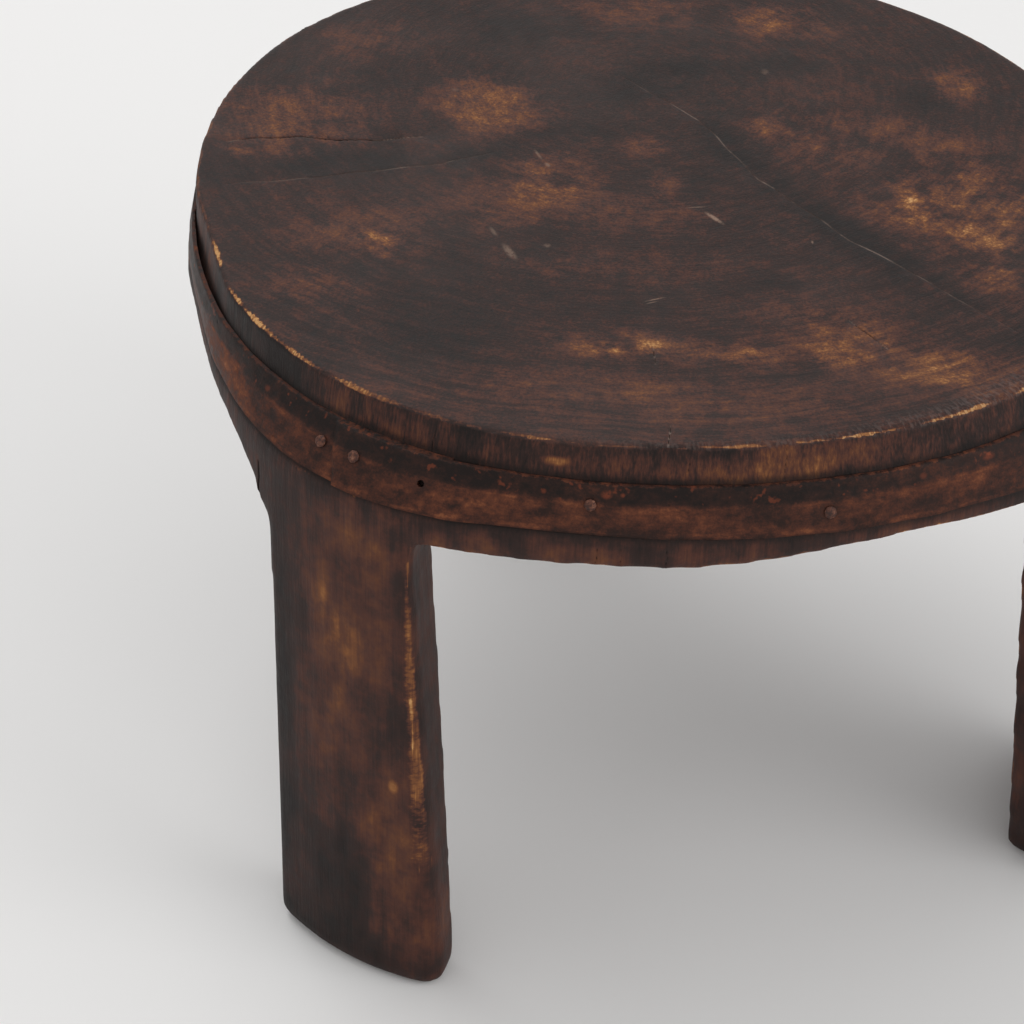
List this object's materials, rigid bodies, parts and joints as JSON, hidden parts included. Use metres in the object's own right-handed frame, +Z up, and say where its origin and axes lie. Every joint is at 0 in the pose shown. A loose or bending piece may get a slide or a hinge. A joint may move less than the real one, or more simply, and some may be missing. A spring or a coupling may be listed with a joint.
{
  "type": "stool",
  "caption": "Low round wooden stool carved from one log, on slab legs, its seat side bound with a nailed sheet-iron hoop.",
  "frame": {"origin": "on the floor, under the middle of the stool's bounding box", "axes": "+Z up from the floor to the seat; +X to the right and -Y towards someone who faces the leg at the lap of the hoop"},
  "size_m": [0.356, 0.3542, 0.247],
  "materials": {
    "carved_wood": "worn dark stain with a low sheen",
    "hoop_iron": "rusted and handled sheet iron",
    "nail_iron": "dull forged iron"
  },
  "bodies": {
    "root": {"carved_body": "carved_wood", "iron_hoop": "hoop_iron", "nail_01": "nail_iron", "nail_02": "nail_iron", "nail_03": "nail_iron", "nail_04": "nail_iron", "nail_05": "nail_iron", "nail_06": "nail_iron", "nail_07": "nail_iron", "nail_08": "nail_iron", "nail_09": "nail_iron", "nail_10": "nail_iron", "nail_11": "nail_iron", "nail_12": "nail_iron", "nail_13": "nail_iron"}
  },
  "joints": []
}
